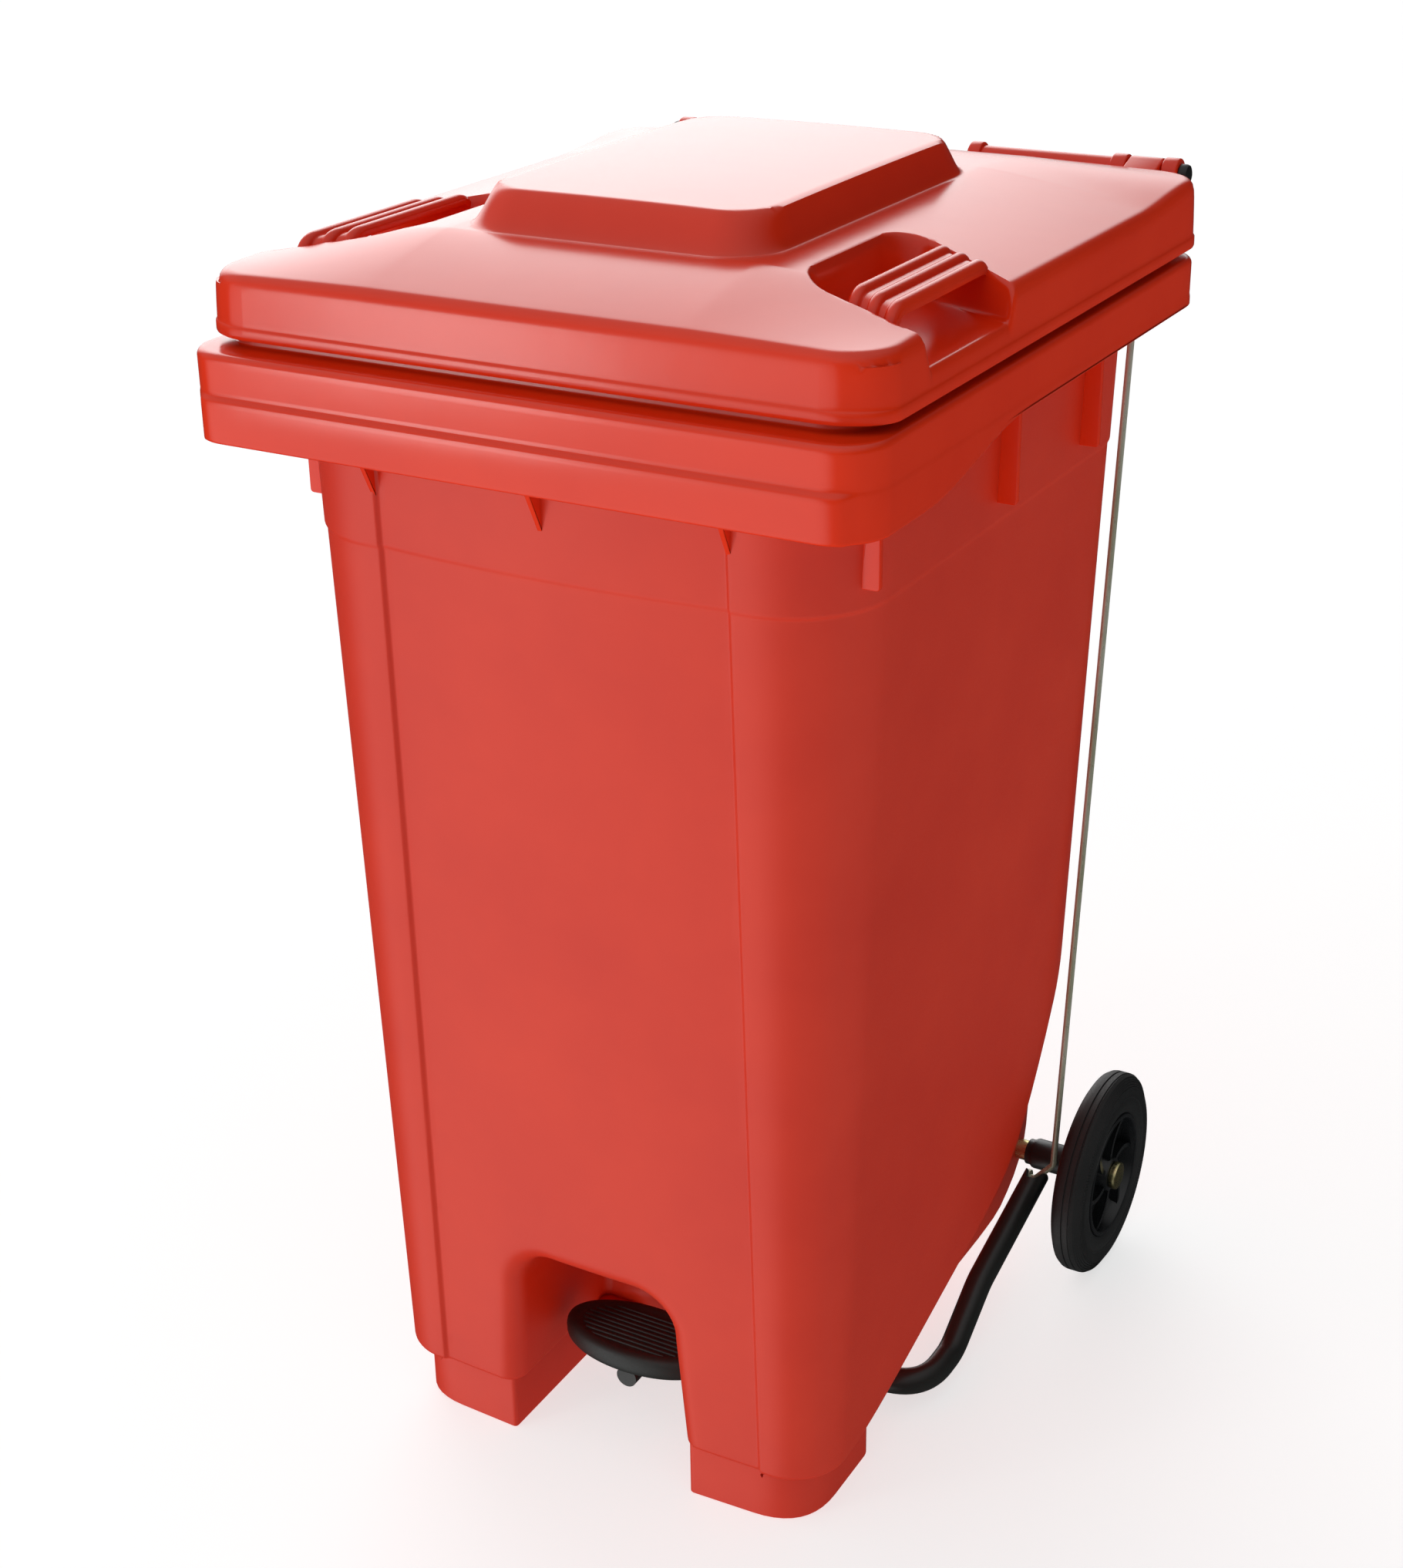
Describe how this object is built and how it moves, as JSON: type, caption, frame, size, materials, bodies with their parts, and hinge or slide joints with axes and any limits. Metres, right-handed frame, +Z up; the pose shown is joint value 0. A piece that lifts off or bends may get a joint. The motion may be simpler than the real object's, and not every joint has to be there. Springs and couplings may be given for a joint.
{
  "type": "pedal bin",
  "caption": "Two-wheeled moulded waste bin with a flat domed lid that a pedal lever and a wire rod lift.",
  "frame": {"origin": "floor level, under the middle of the whole object's footprint", "axes": "+Z up, the front with the pedal faces -Y, the wheels and the hinge are at +Y, the lift rod is at +X"},
  "size_m": [0.585, 0.7174, 1.102],
  "materials": {
    "red_moulding": "moulded, satin gloss",
    "black_moulding": "moulded",
    "black_coat": "powder coated",
    "tyre_rubber": "ribbed",
    "tread_rubber": "ribbed",
    "zinc": "zinc plated",
    "yellow_zinc": "yellow zinc plated"
  },
  "bodies": {
    "bin": {"bin_body": "red_moulding", "axle": "yellow_zinc", "right_axle_sleeve": "black_moulding", "left_axle_sleeve": "black_moulding", "right_axle_cap": "yellow_zinc", "left_axle_cap": "yellow_zinc", "right_pivot_bush": "black_moulding", "left_pivot_bush": "black_moulding", "right_pivot_strap": "zinc", "left_pivot_strap": "zinc", "pivot_bolt_1": "zinc", "pivot_bolt_2": "zinc", "pivot_bolt_3": "zinc", "pivot_bolt_4": "zinc", "pivot_nut_1": "zinc", "pivot_nut_2": "zinc", "pivot_nut_3": "zinc", "pivot_nut_4": "zinc", "rod_guide": "black_moulding"},
    "right_wheel": {"right_tyre": "tyre_rubber", "right_wheel_hub": "black_moulding"},
    "left_wheel": {"left_tyre": "tyre_rubber", "left_wheel_hub": "black_moulding"},
    "lever": {"pedal_lever": "black_coat", "pedal_arm": "black_coat", "pedal_pad": "tread_rubber", "pad_screw_1": "zinc", "pad_screw_2": "zinc"},
    "rod": {"lift_rod": "zinc", "rod_tip": "black_moulding", "rod_clip": "zinc"},
    "hinge_pins": {"right_hinge_pin": "black_moulding", "left_hinge_pin": "black_moulding"},
    "lid": {"lid": "red_moulding", "lid_channel": "zinc", "channel_screw_1": "zinc", "channel_screw_2": "zinc"}
  },
  "joints": [
    {"name": "right_wheel_spin", "type": "hinge", "parent": "bin", "child": "right_wheel", "pos_m": [0.27, 0.22475, 0.1], "axis": [1, 0, 0], "continuous": true},
    {"name": "left_wheel_spin", "type": "hinge", "parent": "bin", "child": "left_wheel", "pos_m": [-0.27, 0.22475, 0.1], "axis": [1, 0, 0], "continuous": true},
    {"name": "pedal_press", "type": "hinge", "parent": "bin", "child": "lever", "pos_m": [0, -0.08025, 0.026], "axis": [1, 0, 0], "range_deg": [0, 14]},
    {"name": "rod_hook", "type": "hinge", "parent": "lever", "child": "rod", "pos_m": [0.222, 0.17875, 0.103], "axis": [1, 0, 0], "range_deg": [-16.5, 0]},
    {"name": "lid_lift", "type": "hinge", "parent": "bin", "child": "hinge_pins", "pos_m": [0, 0.33975, 1.045], "axis": [-1, 0, 0], "range_deg": [0, 44]},
    {"name": "lid_swing", "type": "hinge", "parent": "hinge_pins", "child": "lid", "pos_m": [0, 0.33975, 1.045], "axis": [-1, 0, 0], "range_deg": [0, 220]}
  ],
  "couplings": [
    {"joint": "rod_hook", "follows": "pedal_press", "ratio": -1.143},
    {"joint": "lid_lift", "follows": "pedal_press", "ratio": 3.101}
  ]
}
